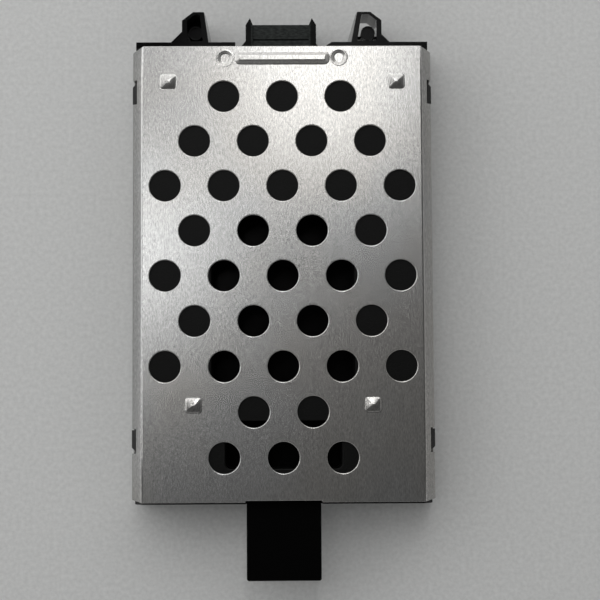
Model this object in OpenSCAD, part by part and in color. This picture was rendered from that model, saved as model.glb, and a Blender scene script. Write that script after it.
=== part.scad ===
// Drive caddy for a rugged laptop: a moulded tray under a perforated steel cover.
// Millimetres. +Z is up through the cover, +Y points to the connector end, +X is to the right.
// The origin is the middle of the underside, halfway along the cover.

/* [Cover] */
// Length of the steel cover
cover_l = 120.5; // [110:0.5:135]
// Width over the cover's side walls
cover_w = 79.4; // [77:0.1:88]
// Height from the underside to the cover's flat top
caddy_h = 16; // [15.5:0.1:20]
// Thickness of the steel sheet
sheet = 0.6; // [0.4:0.1:0.8]
// Width in plan of the sloping strip along each long side
bevel_w = 2.6; // [2:0.1:3.4]
// Drop of the sloping strip
bevel_h = 2.2; // [1.6:0.1:2.8]
// Outer radius of the folds
fold_r = 1.1; // [0.9:0.1:1.6]
// Length of the corner relief at the connector end, along the side wall
relief_front = 1.4; // [0.6:0.1:2.5]
// Length of the corner relief at the tab end, along the side wall
relief_rear = 0.8; // [0.4:0.1:2]
// Depth of the notch over the pull tab
tab_notch = 0.5; // [0.2:0.1:1.5]

/* [Perforation] */
// Diameter of the holes
hole_d = 8.2; // [5:0.1:9]
// Distance between holes in a row
hole_pitch = 15.5; // [12:0.1:16]
// Distance between rows
row_pitch = 11.92; // [10:0.01:12.5]
// How far the middle row lies from the cover's middle, towards the tab
hole_shift = 0.95; // [0:0.05:2]
// Width of the rolled edge that the punch leaves round each hole
hole_edge = 0.2; // [0.1:0.05:0.4]

/* [Pressed details] */
// Length of the raised rib
rib_l = 25.5; // [15:0.5:27]
// Width of the raised rib
rib_w = 3.5; // [2.4:0.1:4]
// Height of the raised rib
rib_h = 0.6; // [0.3:0.1:0.9]
// Distance of the rib and dimples from the connector end of the cover
rib_inset = 3.25; // [2.8:0.05:5]
// Distance of each round dimple from the centre line
dimple_x = 15.1; // [14.5:0.1:20]
// Diameter of the round dimples
dimple_d = 4.4; // [3.5:0.1:5]
// Length across of the four square bumps
bump_w = 4.4; // [3:0.1:5.5]
// Height of the square bumps
bump_h = 0.5; // [0.3:0.1:0.8]
// Place of the front pair of bumps, across and along
front_bump = [30.3, 50.7]; // [28:0.1:52]
// Place of the rear pair of bumps, across and along
rear_bump = [23.5, -35]; // [-36:0.1:25]

/* [Tray] */
// Thickness of the floor
floor_t = 1.2; // [0.8:0.1:1.6]
// Thickness of the side walls
wall = 1.5; // [1:0.1:1.8]
// Thickness of the two end walls
end_wall = 1.6; // [1.2:0.1:2]
// Height of the ledge that the cover stands on
ledge_h = 1.8; // [1.6:0.1:2.6]
// Gap between the tray and the inside of the cover
cover_gap = 0.2; // [0.1:0.05:0.3]
// How far the flanges at the connector end stand past the cover
flange_proud = 1.65; // [0.6:0.05:2]
// Width of the opening between the two flanges
flange_gap = 24.4; // [23:0.1:28]
// How far the rear wall stands past the cover
rear_proud = 0.4; // [0.2:0.1:1]
// Chamfer on the upright rear corners and the lower edges
corner_cut = 1.2; // [0.4:0.1:1.5]

/* [Guide posts] */
// How far the posts stand past the flanges
post_l = 8.2; // [6:0.1:12]
// Distance of the posts' outer faces from the centre line
post_x = 26.7; // [26:0.1:30]
// Width of each post's foot, left then right
post_foot = [7.1, 8.1]; // [6.5:0.1:10]
// Width of the blunt tip of each post, left then right
post_tip = [2.9, 3.5]; // [2:0.1:4]
// Lead-in cut on the outer corner of the tips, across and along
post_lead = [3, 2.3]; // [1:0.05:3.5]
// How far each post's inner side spreads out down to its lower face, left then right
post_flare = [0.9, 1.4]; // [0.3:0.1:2]
// Thickness of the posts' walls
post_wall = 1.35; // [1:0.05:1.6]
// Thickness of the wall at the posts' tips
tip_wall = 0.65; // [0.5:0.05:1]
// Height of the posts' lower faces above the underside
post_low = 4; // [3:0.1:6]
// Depth of the posts' upper faces below the cover's flat top
post_drop = 2.4; // [1.5:0.1:4]
// Length of the web beside each post, left then right
web_l = [3, 2.2]; // [1.5:0.1:4]
// Diameter of the round boss in the pocket of each post
boss_d = 3.8; // [3:0.1:4]

/* [Snap arms] */
// Length of the slots in the cover, along the caddy
slot_l = 6.4; // [5:0.1:9]
// Place of the front and the rear slots along the caddy
slot_y = [48.2, -44.2]; // [-46:0.1:50]
// Depth of the lower and the upper edge of the slots below the cover's flat top
slot_drop = [6.5, 1.3]; // [1:0.1:7]
// How far the barbs stand past the cover's outer face
barb_proud = 0.2; // [0.1:0.05:0.4]
// Thickness of the snap arms
arm_t = 1.1; // [0.8:0.1:1.3]
// Width of the cuts beside each arm
kerf = 0.6; // [0.4:0.1:1]
// Height of the arms' roots above the underside
arm_root = 3; // [2.6:0.1:5]

/* [Dampers] */
// Thickness of the upper and lower foam sheets
damper_t = 2.2; // [1.5:0.1:2.4]
// Thickness of the foam strips on the side walls
side_pad = 2.1; // [1.5:0.1:2.2]
// Thickness of the foam blocks at both ends of the drive
end_pad = 2; // [1.5:0.1:2.2]
// Length of the space for the drive
bay_l = 100.6; // [100.2:0.1:101]
// Large window in the foam sheets, across and along
window = [37.8, 47.5]; // [30:0.1:52]
// Place of the large window's middle along the caddy
window_y = -7; // [-12:0.5:-3]
// Small window in the foam sheets, across and along
small_window = [30.6, 12.5]; // [10:0.1:40]
// Place of the small window's middle along the caddy
small_window_y = -45.3; // [-47:0.1:-43]

/* [Pull tab] */
// Width of the film
tab_w = 19.5; // [12:0.5:22]
// How far the film reaches past the cover
tab_l = 20.4; // [12:0.1:30]
// Thickness of the film
film_t = 0.35; // [0.2:0.05:0.5]
// Depth of the film below the cover's flat top, where it leaves the tray
tab_drop = 2.7; // [2.4:0.1:5]

/* [Connector] */
// How far the connector's middle lies to the right of the centre line
conn_x = -0.25; // [-0.5:0.05:0.5]
// Width over the connector's guide horns
conn_w = 19; // [16:0.1:20]
// Height of the connector's body
conn_h = 6.2; // [5.4:0.1:6.4]
// How far the body stands past the cover
conn_l = 7.3; // [5:0.1:9]
// How far the tips of the horns stand past the body
horn_l = 1.8; // [1:0.1:2.5]
// Width of each horn
horn_w = 1.9; // [1.4:0.1:2.2]
// Number of contacts in each of the two rows
conn_pins = 12; // [8:1:13]

/* [Drive socket] */
// Width of the socket
socket_w = 38; // [37:0.1:40]
// Height of the socket's body
socket_h = 5.6; // [5:0.1:6]
// How far the socket's middle lies to the right of the centre line
socket_x = 4.8; // [3:0.1:6]
// Height of the socket's middle above the underside of the drive
plug_up = 3.5; // [3.2:0.1:4]
// Distance between the socket's contacts
pin_pitch = 1.27; // [1:0.01:1.27]

/* [Boards and screws] */
// Thickness of the circuit boards
board_t = 0.8; // [0.6:0.1:1]
// Width of the flex cable
flex_w = 20; // [12:0.5:20]
// Thickness of the flex cable
flex_t = 0.2; // [0.15:0.05:0.3]
// Diameter of the screws' shanks
screw_d = 1.9; // [1.6:0.1:2]
// Diameter of the screws' heads
head_d = 3.6; // [3:0.1:3.8]
// Outer diameter of the brass inserts
insert_d = 3.2; // [2.8:0.1:3.4]

/* [Hidden] */
$fn = 48;

// Extra length of a cutting shape past the face that it cuts
past = 1;
// Number of flats in each rounded fold or corner of an outline
fold_steps = 5;
// Holes in each row, from the connector end to the tab end
row_holes = [3, 4, 5, 4, 5, 4, 5, 2, 3];
middle_row = (len(row_holes) - 1) / 2;

// Both ends of the cover
front_y = cover_l / 2;
rear_y = -cover_l / 2;

// The tray inside the cover
tray_inset = sheet + cover_gap;
tray_half = cover_w / 2 - tray_inset;
inner_half = tray_half - wall;
end_setback = 0.15;
flange_cut = [1.4, 0.85];
shell_low = 0.5;
wall_front = front_y - end_setback;
inner_front = wall_front - end_wall;
flange_y = front_y + flange_proud;
wall_rear = rear_y - rear_proud;
inner_rear = wall_rear + end_wall;

// Room beside the pull tab in the notches that it passes through
tab_gap = 0.25;

// Heights above the underside of what hangs on the cover's flat top
tab_z = caddy_h - tab_drop;
slot_z = [caddy_h - slot_drop[0], caddy_h - slot_drop[1]];
post_z = [post_low, caddy_h - post_drop];
upper_damper_z = caddy_h - sheet - damper_t;

// The space for the drive, and the pads round it
pad_gap = 0.1;
pad_trim = 0.3;
bay_rear = inner_rear + end_pad + film_t;
bay_front = bay_rear + bay_l;
stop_t = 1.2;
stop_y = bay_front + end_pad;
stop_gap = 1.9;
stop_z = [floor_t, upper_damper_z - stop_gap];
side_pad_y = [slot_y[1] + slot_l / 2 + 2.6, bay_front - 2];
window_r = 1.4;
rear_setback = 0.9;
front_setback = 0.6;
conn_depth = 5;
damper_half = inner_half - side_pad - pad_gap;
damper_rear = bay_rear + rear_setback;
upper_front = inner_front - conn_depth - pad_trim;
lower_front = bay_front - front_setback;

// The two keyed slots of the socket: the middle, from the socket's middle, and the number of contacts
power_slot = [5.8, 15];
signal_slot = [-11.6, 7];
key_slot_h = 2.2;
key_drop = 0.8;

// The connector's mouth and tongue
mouth_h = 3.6;
mouth_rear = front_y - 1.2;
tongue_t = 1;
tongue_sunk = 1.2;

// The boards, the socket and the connector
socket_gap = 0.2;
socket_setback = 0.6;
socket_board_l = 5.6;
socket_ear = 3.1;
screw_room = 0.5;
conn_gap = 0.3;
conn_board_l = 5.9;
conn_ear = 6.5;
conn_screw_out = 4;
board_top = floor_t + damper_t + plug_up - socket_h / 2;
board_z = board_top - board_t;
socket_y = bay_front + socket_gap;
socket_l = 5.7;
socket_board_y = [socket_y + socket_setback, socket_y + socket_setback + socket_board_l];
socket_board_half = socket_w / 2 + socket_ear;
socket_screw_x = socket_w / 2 + screw_room + head_d / 4;
conn_rear = inner_front - conn_depth;
conn_front = front_y + conn_l;
conn_board_y = [inner_front - conn_gap - conn_board_l, inner_front - conn_gap];
conn_board_half = conn_w / 2 + conn_ear;
conn_screw_x = conn_w / 2 + conn_screw_out;
conn_screw_y = (conn_board_y[0] + conn_board_y[1]) / 2;
socket_screw_y = (socket_board_y[0] + socket_board_y[1]) / 2;
head_h = 1.1;
shank_l = board_z - floor_t;
shank_clear = 0.3;
bore_gap = 0.05;
boss_wall = 1;

// How far a boss, post or stop reaches into what it stands on, and what a post keeps from its own edge
root = 0.3;

function unit(v) = v / norm(v);
function next(points, i) = points[(i + 1) % len(points)];
function previous(points, i) = points[(i + len(points) - 1) % len(points)];

// Half the angle at a corner, and the direction from the corner into the outline
function half_angle(a, b) = acos(a * b) / 2;

// Points of the arc that rounds the corner between two straight sides
function corner_arc(before, at, after, r) =
    let (
        a = unit(before - at),
        b = unit(after - at),
        half = half_angle(a, b),
        centre = at + unit(a + b) * r / sin(half),
        start = at + a * r / tan(half) - centre,
        end = at + b * r / tan(half) - centre,
        turn = (cross(start, end) > 0 ? 1 : -1) * (180 - 2 * half)
    )
    [
        for (i = [0:fold_steps])
            let (t = turn * i / fold_steps)
            centre + [start.x * cos(t) - start.y * sin(t), start.x * sin(t) + start.y * cos(t)]
    ];

// An outline with each corner rounded to its own radius, where 0 keeps it sharp
function rounded(points, radii) = [
    for (i = [0:len(points) - 1])
        each radii[i] > 0
            ? corner_arc(previous(points, i), points[i], next(points, i), radii[i])
            : [points[i]]
];

// A convex outline moved inwards by the same distance on every side
function shrunk(points, d) = [
    for (i = [0:len(points) - 1])
        let (a = unit(previous(points, i) - points[i]), b = unit(next(points, i) - points[i]))
        points[i] + unit(a + b) * d / sin(half_angle(a, b))
];

// The two fold corners of the cover's section on the right, a given distance inside its outer faces
function folds(inset) =
    let (slope = norm([bevel_w, bevel_h]), nx = bevel_h / slope, nz = bevel_w / slope)
    [
        [cover_w / 2 - inset, caddy_h - bevel_h - inset * (1 - nx) / nz],
        [cover_w / 2 - bevel_w - inset * (1 - nz) / nx, caddy_h - inset]
    ];

// A block along the caddy with the cover's bevelled section
module section_block(inset, z_low, y_low, y_high) {
    f = folds(inset);
    r = max(fold_r - inset, 0.3);
    outline = [
        [f[0].x, z_low], f[0], f[1], [-f[1].x, f[1].y], [-f[0].x, f[0].y], [-f[0].x, z_low]
    ];
    translate([0, y_high, 0])
        rotate([90, 0, 0])
            linear_extrude(y_high - y_low)
                polygon(rounded(outline, [0, r, r, r, r, 0]));
}

// A block between two corners
module block(low, high) {
    translate(low)
        cube(high - low);
}

// An outline in plan, from one height to another
module slab(outline, z_low, z_high) {
    translate([0, 0, z_low])
        linear_extrude(z_high - z_low)
            polygon(outline);
}

// An outline in the plane of height and length, centred across the caddy
module strip(outline, width) {
    translate([-width / 2, 0, 0])
        rotate([90, 0, 90])
            linear_extrude(width)
                polygon(outline);
}

function rectangle(size, centre = [0, 0]) = [
    for (c = [[1, -1], [1, 1], [-1, 1], [-1, -1]]) centre + [c.x * size.x / 2, c.y * size.y / 2]
];

// Section of a ridge, from the sheet's inner face up to its crest
function ridge_section(foot, top, height) = [
    [-foot / 2, -sheet], [foot / 2, -sheet], [top / 2, height], [-top / 2, height]
];

// A ridge with four sloping sides, pressed up from the sheet's top face
module ridge(size, height, slope) {
    foot = size + [1, 1] * 2 * slope * sheet / height;
    top = size - [1, 1] * 2 * slope;
    intersection() {
        translate([0, foot.y / 2, 0])
            rotate([90, 0, 0])
                linear_extrude(foot.y)
                    polygon(ridge_section(foot.x, top.x, height));
        translate([-foot.x / 2, 0, 0])
            rotate([90, 0, 90])
                linear_extrude(foot.x)
                    polygon(ridge_section(foot.y, top.y, height));
    }
}

// Every pressed-up form of the cover, standing on its top face
module pressed_forms() {
    translate([0, front_y - rib_inset, caddy_h])
        ridge([rib_l, rib_w], rib_h, rib_w * 0.32);
    for (side = [-1, 1]) {
        translate([side * front_bump.x, front_bump.y, caddy_h])
            square_bump();
        translate([side * rear_bump.x, rear_bump.y, caddy_h])
            square_bump();
    }
}

// A square bump with its corners rounded off by a cone
module square_bump() {
    flare = bump_w * 0.28;
    intersection() {
        ridge([bump_w, bump_w * 0.9], bump_h, flare);
        translate([0, 0, -sheet])
            cylinder(
                h = bump_h + sheet,
                r1 = bump_w * 0.6 + flare * sheet / bump_h,
                r2 = bump_w * 0.6 - flare
            );
    }
}

// The ring that stands round each dimple
module dimple_ring() {
    r = dimple_d / 2;
    ring_h = 0.22;
    rotate_extrude()
        polygon([
            [r * 0.5, -sheet / 2], [r, -sheet / 2], [r, 0],
            [r * 0.9, ring_h], [r * 0.74, ring_h], [r * 0.5, 0]
        ]);
}

// The sunk groove round the middle of each dimple
module dimple_groove() {
    r = dimple_d / 2;
    groove = -sheet * 0.55;
    rotate_extrude()
        polygon([
            [r * 0.52, sheet], [r * 0.76, sheet], [r * 0.74, 0], [r * 0.64, groove], [r * 0.52, groove]
        ]);
}

// One punched hole with its rolled upper edge
module punched_hole() {
    translate([0, 0, caddy_h - sheet - past])
        cylinder(h = sheet + 2 * past, d = hole_d);
    translate([0, 0, caddy_h - hole_edge])
        cylinder(h = 2 * hole_edge, d1 = hole_d, d2 = hole_d + 4 * hole_edge);
}

module perforation() {
    for (row = [0:len(row_holes) - 1])
        for (i = [0:row_holes[row] - 1])
            translate([
                (i - (row_holes[row] - 1) / 2) * hole_pitch,
                (middle_row - row) * row_pitch - hole_shift,
                0
            ])
                punched_hole();
}

// The cut that takes the corner off the bevel and side wall at one end
module corner_relief(y_end, length, start) {
    out = y_end > 0 ? 1 : -1;
    for (side = [-1, 1])
        slab(
            [
                [side * start, y_end],
                [side * cover_w / 2, y_end - out * length],
                [side * (cover_w / 2 + past), y_end - out * length],
                [side * (cover_w / 2 + past), y_end + out * past],
                [side * start, y_end + out * past]
            ],
            0,
            caddy_h + past
        );
}

module cover_slots() {
    outer = cover_w / 2 + past;
    for (side = [-1, 1])
        for (y = slot_y)
            translate([side * (inner_half + outer) / 2, y, (slot_z[0] + slot_z[1]) / 2])
                cube([outer - inner_half, slot_l, slot_z[1] - slot_z[0]], center = true);
}

// The folded and punched steel sheet
module cover() {
    color("#b4b6b7")
        difference() {
            union() {
                section_block(0, ledge_h, rear_y, front_y);
                pressed_forms();
                for (side = [-1, 1])
                    translate([side * dimple_x, front_y - rib_inset, caddy_h])
                        dimple_ring();
            }
            section_block(sheet, ledge_h - past, rear_y - past, front_y + past);
            translate([0, 0, -sheet])
                pressed_forms();
            for (side = [-1, 1])
                translate([side * dimple_x, front_y - rib_inset, caddy_h])
                    dimple_groove();
            perforation();
            cover_slots();
            corner_relief(front_y, relief_front, cover_w / 2 - bevel_w - 0.5);
            corner_relief(rear_y, relief_rear, cover_w / 2 - bevel_w + 0.6);
            block(
                [-tab_w / 2 - tab_gap, rear_y - past, caddy_h - sheet - past],
                [tab_w / 2 + tab_gap, rear_y + tab_notch, caddy_h + past]
            );
        }
}

// A foam sheet with its two windows
module damper_sheet(y_low, y_high, z_low) {
    corners = [window_r, window_r, window_r, window_r];
    sheet_size = [2 * damper_half, y_high - y_low];
    difference() {
        slab(rounded(rectangle(sheet_size, [0, (y_low + y_high) / 2]), corners), z_low, z_low + damper_t);
        slab(rounded(rectangle(window, [0, window_y]), corners), z_low - past, z_low + damper_t + past);
        slab(
            rounded(rectangle(small_window, [0, small_window_y]), corners),
            z_low - past,
            z_low + damper_t + past
        );
    }
}

module upper_damper() {
    color("#1c1d1c")
        damper_sheet(damper_rear, upper_front, upper_damper_z);
}

module lower_damper() {
    color("#1c1d1c")
        damper_sheet(damper_rear, lower_front, floor_t);
}

// Outline in plan of a guide post on the right, from a line behind its foot to one past its tip
function post_outline(foot, tip, behind = 0, beyond = 0) = [
    [post_x - foot, flange_y - behind],
    [post_x, flange_y - behind],
    [post_x, flange_y + post_l + beyond - post_lead.y],
    [post_x - post_lead.x, flange_y + post_l + beyond],
    [post_x - post_lead.x - tip, flange_y + post_l + beyond]
];

// The post's body, whose inner side spreads out downwards by its flare
module post_body(foot, tip, flare) {
    foot_at = [post_x - foot, flange_y];
    tip_at = [post_x - post_lead.x - tip, flange_y + post_l];
    way = tip_at - foot_at;
    post_h = post_z[1] - post_z[0];
    tip_flare = 0.3;
    low = post_outline(foot + flare, tip + tip_flare, root);
    difference() {
        slab(rounded(low, [0, 0, 0.4, 0.4, 0.9]), post_z[0], post_z[1]);
        translate([foot_at.x, foot_at.y, post_z[1]])
            rotate([0, 0, atan2(way.y, way.x)])
                rotate([atan(flare / post_h), 0, 0])
                    translate([-past, 0, -2 * post_h])
                        cube([norm(way) + 2 * past, past + 2 * flare, 3 * post_h]);
    }
}

// The web in the corner between a post and its flange
module post_web(length) {
    slab(
        [
            [post_x - root, flange_y - root], [post_x + length, flange_y - root],
            [post_x + length, flange_y], [post_x - root, flange_y + length + root]
        ],
        post_z[0] + root,
        post_z[1] - root
    );
}

// The dished round boss in a post's pocket
module post_boss(x, y, z_low) {
    boss_top = post_z[1] - 1.2;
    dish = [boss_d - 0.7, 0.4];
    translate([x, y, 0])
        difference() {
            translate([0, 0, z_low])
                cylinder(h = boss_top - z_low, d = boss_d);
            translate([0, 0, boss_top - dish.y])
                cylinder(h = dish.y + past, d = dish.x);
        }
}

// A hollow guide post: its pocket is blind, or open right through with a tie across it
module guide_post(foot, tip, web, flare, open) {
    pocket_foot = 0.3;
    pocket_floor = post_z[0] + post_wall;
    pocket = shrunk(post_outline(foot, tip, post_wall - pocket_foot, post_wall - tip_wall), post_wall);
    boss_at = [post_x - 3.6, flange_y + 2.7];
    tie = [0.8, 3];
    difference() {
        union() {
            post_body(foot, tip, flare);
            post_web(web);
        }
        slab(
            rounded(pocket, [0.3, 0.3, 0.3, 0.3, 0.3]),
            open ? post_z[0] - past : pocket_floor,
            post_z[1] + past
        );
    }
    post_boss(boss_at.x, boss_at.y, open ? post_z[0] : pocket_floor - root);
    if (open)
        block(
            [boss_at.x - boss_d / 2 - 2 * root, boss_at.y - tie.x / 2, post_z[0]],
            [post_x - root, boss_at.y + tie.x / 2, post_z[0] + tie.y]
        );
}

// A round boss on the floor with the hole for a brass insert
module insert_boss(x, y) {
    translate([x, y, floor_t - root])
        cylinder(h = board_z - floor_t + root, d = insert_d + 2 * boss_wall);
}

module insert_hole(x, y) {
    translate([x, y, board_z - shank_l])
        cylinder(h = shank_l + past, d = insert_d);
}

// The places of all four insert holes
function screw_places() = [
    [conn_x + conn_screw_x, conn_screw_y], [conn_x - conn_screw_x, conn_screw_y],
    [socket_x + socket_screw_x, socket_screw_y], [socket_x - socket_screw_x, socket_screw_y]
];

module tray_shell() {
    base = [
        [cover_w / 2 - corner_cut / 2, 0], [cover_w / 2, corner_cut / 2], [cover_w / 2, ledge_h],
        [-cover_w / 2, ledge_h], [-cover_w / 2, corner_cut / 2], [-cover_w / 2 + corner_cut / 2, 0]
    ];
    difference() {
        union() {
            translate([0, flange_y, 0])
                rotate([90, 0, 0])
                    linear_extrude(flange_y - wall_rear)
                        polygon(base);
            section_block(tray_inset, shell_low, wall_rear, wall_front);
            block([-tray_half, wall_front - root, shell_low], [tray_half, flange_y, post_z[1]]);
        }
        block([-inner_half, inner_rear, floor_t], [inner_half, inner_front, caddy_h + past]);
        slab(
            [
                [conn_x - flange_gap / 2, flange_y + past], [conn_x - flange_gap / 2, wall_front],
                [conn_x + flange_gap / 2, wall_front], [conn_x + flange_gap / 2, flange_y - flange_cut.y],
                [conn_x + flange_gap / 2 + flange_cut.x, flange_y],
                [conn_x + flange_gap / 2 + flange_cut.x, flange_y + past]
            ],
            -past,
            caddy_h + past
        );
        for (side = [-1, 1])
            slab(
                [
                    [side * (cover_w / 2 - corner_cut), wall_rear - past],
                    [side * (cover_w / 2 - corner_cut), wall_rear],
                    [side * cover_w / 2, wall_rear + rear_proud],
                    [side * (cover_w / 2 + past), wall_rear + rear_proud],
                    [side * (cover_w / 2 + past), wall_rear - past]
                ],
                -past,
                caddy_h + past
            );
    }
}

// How far from the centre line the stop on one side begins, clear of the socket's board
function stop_in(side) = side * socket_x + socket_board_half + 1;

// The rib in front of one corner of the drive
module drive_stop(side) {
    inner = stop_in(side);
    outer = inner_half + root;
    translate([side * (inner + outer) / 2, stop_y + stop_t / 2, (stop_z[0] - root + stop_z[1]) / 2])
        cube([outer - inner, stop_t, stop_z[1] - stop_z[0] + root], center = true);
}

// The moulding: floor, walls, flanges, posts, stops and bosses
module tray() {
    color("#161616")
        difference() {
            union() {
                tray_shell();
                guide_post(post_foot[1], post_tip[1], web_l[1], post_flare[1], true);
                mirror([1, 0, 0])
                    guide_post(post_foot[0], post_tip[0], web_l[0], post_flare[0], false);
                for (side = [-1, 1])
                    drive_stop(side);
                for (p = screw_places())
                    insert_boss(p.x, p.y);
            }
            for (p = screw_places())
                insert_hole(p.x, p.y);
            block(
                [conn_x - conn_w / 2 - conn_gap, inner_front - past, board_top - conn_gap],
                [conn_x + conn_w / 2 + conn_gap, flange_y + past, caddy_h + past]
            );
            block(
                [-tab_w / 2 - tab_gap, wall_rear - past, tab_z],
                [tab_w / 2 + tab_gap, inner_rear + past, caddy_h + past]
            );
            for (side = [-1, 1])
                for (y = slot_y)
                    translate([side * (inner_half + tray_half) / 2, y, (arm_root + caddy_h) / 2])
                        cube([wall + 2 * cover_gap, slot_l + 2 * kerf, caddy_h - arm_root], center = true);
        }
}

// One flexing arm on the right side: its barb looks out through the slot
module snap_arm(y, out) {
    arm_w = slot_l - kerf;
    arm_end = y + out * arm_w / 2;
    barb_x = cover_w / 2 + barb_proud;
    barb_slope = 0.9;
    barb_cut = [barb_x - tray_half + 0.3, 1.2];
    arm_top = folds(sheet)[0].y - cover_gap;
    barb_low = slot_z[0] + cover_gap;
    section = [
        [tray_half - arm_t, arm_root], [tray_half, arm_root], [tray_half, barb_low], [barb_x, barb_low],
        [barb_x, arm_top - barb_slope], [tray_half, arm_top], [tray_half - arm_t, arm_top]
    ];
    difference() {
        translate([0, y + arm_w / 2, 0])
            rotate([90, 0, 0])
                linear_extrude(arm_w)
                    polygon(section);
        slab(
            [
                [barb_x - barb_cut.x, arm_end + out * past], [barb_x - barb_cut.x, arm_end],
                [barb_x, arm_end - out * barb_cut.y], [barb_x + past, arm_end - out * barb_cut.y],
                [barb_x + past, arm_end + out * past]
            ],
            barb_low,
            caddy_h
        );
    }
}

module snap_arms() {
    color("#161616")
        for (side = [0, 1])
            mirror([side, 0, 0])
                for (y = slot_y)
                    snap_arm(y, sign(y));
}

// A foam strip on the inner face of a side wall
module side_damper(side) {
    strip_h = upper_damper_z - floor_t - damper_t - 2 * pad_gap;
    middle_y = (side_pad_y[0] + side_pad_y[1]) / 2;
    translate([side * (inner_half - side_pad / 2), middle_y, (caddy_h - sheet + floor_t) / 2])
        cube([side_pad, side_pad_y[1] - side_pad_y[0], strip_h], center = true);
}

module left_damper() {
    color("#202120")
        side_damper(-1);
}

module right_damper() {
    color("#202120")
        side_damper(1);
}

// Two foam blocks on the rear wall, one each side of the pull tab
module rear_dampers() {
    inner = tab_w / 2 + 2;
    color("#202120")
        for (side = [-1, 1])
            translate([side * (inner + damper_half) / 2, inner_rear + end_pad / 2, (floor_t + tab_z) / 2])
                cube([damper_half - inner, end_pad, tab_z - floor_t - 2 * pad_trim], center = true);
}

// Two foam blocks on the stops in front of the drive
module front_dampers() {
    outer = inner_half - pad_trim;
    color("#202120")
        for (side = [-1, 1])
            translate([
                side * (stop_in(side) + outer) / 2,
                stop_y - end_pad / 2,
                (stop_z[0] + pad_trim + stop_z[1]) / 2
            ])
                cube([outer - stop_in(side), end_pad, stop_z[1] - stop_z[0] - pad_trim], center = true);
}

// The film: flat outside, bent down behind the rear wall inside
module pull_tab() {
    r = 0.9;
    tip = rear_y - tab_l;
    inner_y = inner_rear + film_t;
    side_view = [
        [tip, tab_z], [tip, tab_z + film_t], [inner_y, tab_z + film_t],
        [inner_y, floor_t], [inner_rear, floor_t], [inner_rear, tab_z]
    ];
    plan = rectangle([tab_w, inner_y - tip], [0, (tip + inner_y) / 2]);
    color("#0c0c0c")
        intersection() {
            strip(rounded(side_view, [0, 0, r, 0, 0, 0]), tab_w);
            slab(rounded(plan, [0.6, 0, 0, 0.6]), 0, caddy_h);
        }
}

// A circuit board with its two screw holes
module circuit_board(x, half, y_range, screw_x, screw_y) {
    difference() {
        block([x - half, y_range[0], board_z], [x + half, y_range[1], board_top]);
        for (side = [-1, 1])
            translate([x + side * screw_x, screw_y, board_z - past])
                cylinder(h = board_t + 2 * past, d = screw_d + 0.3);
    }
}

module socket_board() {
    color("#14452a")
        circuit_board(socket_x, socket_board_half, socket_board_y, socket_screw_x, socket_screw_y);
}

module connector_board() {
    color("#14452a")
        circuit_board(conn_x, conn_board_half, conn_board_y, conn_screw_x, conn_screw_y);
}

// A slot of the socket with its key, with the middle of its mouth at the origin
module keyed_slot(pins) {
    slot_w = pins * pin_pitch + 1.2;
    deep = socket_l - 1;
    block([-slot_w / 2, -past, -key_slot_h / 2], [slot_w / 2, deep, key_slot_h / 2]);
    block([slot_w / 2 - key_drop, -past, -key_slot_h / 2 - key_drop], [slot_w / 2, deep, 0]);
}

// The inner socket that the drive plugs into
module socket_housing() {
    color("#1a1a1a")
        difference() {
            block(
                [socket_x - socket_w / 2, socket_y, board_top],
                [socket_x + socket_w / 2, socket_y + socket_l, board_top + socket_h]
            );
            for (s = [power_slot, signal_slot])
                translate([socket_x + s[0], socket_y, board_top + socket_h / 2])
                    keyed_slot(s[1]);
            for (side = [-1, 1])
                translate([socket_x + side * socket_screw_x, socket_screw_y, board_top])
                    cylinder(h = 2 * socket_h, d = head_d + 2 * conn_gap);
        }
}

// The spring contacts on the upper side of the socket's slots
module socket_contacts() {
    blade = [pin_pitch * 0.55, socket_l - 1.5, 0.3];
    color("#c9a24a")
        for (s = [power_slot, signal_slot])
            for (i = [0:s[1] - 1])
                translate([
                    socket_x + s[0] + (i - (s[1] - 1) / 2) * pin_pitch,
                    socket_y + 0.5 + blade.y / 2,
                    board_top + (socket_h + key_slot_h - blade.z) / 2
                ])
                    cube(blade, center = true);
}

// One cross-headed screw, standing head up with the head's seat at the origin
module screw() {
    rim_h = head_h * 0.6;
    cylinder(h = rim_h, d = head_d);
    translate([0, 0, rim_h])
        cylinder(h = head_h - rim_h, d1 = head_d, d2 = head_d * 0.8);
    translate([0, 0, shank_clear - shank_l])
        cylinder(h = shank_l, d = screw_d);
}

module cross_recess() {
    for (turn = [0, 90])
        rotate([0, 0, turn])
            translate([0, 0, head_h])
                cube([head_d * 0.55, 0.45, head_h], center = true);
}

module screw_pair(x, half, y) {
    for (side = [-1, 1])
        translate([x + side * half, y, board_top])
            difference() {
                screw();
                cross_recess();
            }
}

module socket_screws() {
    color("#8b8d8f")
        screw_pair(socket_x, socket_screw_x, socket_screw_y);
}

module connector_screws() {
    color("#8b8d8f")
        screw_pair(conn_x, conn_screw_x, conn_screw_y);
}

// Brass inserts in the tray's bosses
module screw_inserts() {
    color("#b08d3c")
        for (p = screw_places())
            translate([p.x, p.y, board_z - shank_l])
                difference() {
                    cylinder(h = shank_l, d = insert_d);
                    translate([0, 0, -past])
                        cylinder(h = shank_l + 2 * past, d = screw_d + 2 * bore_gap);
                }
}

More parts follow.
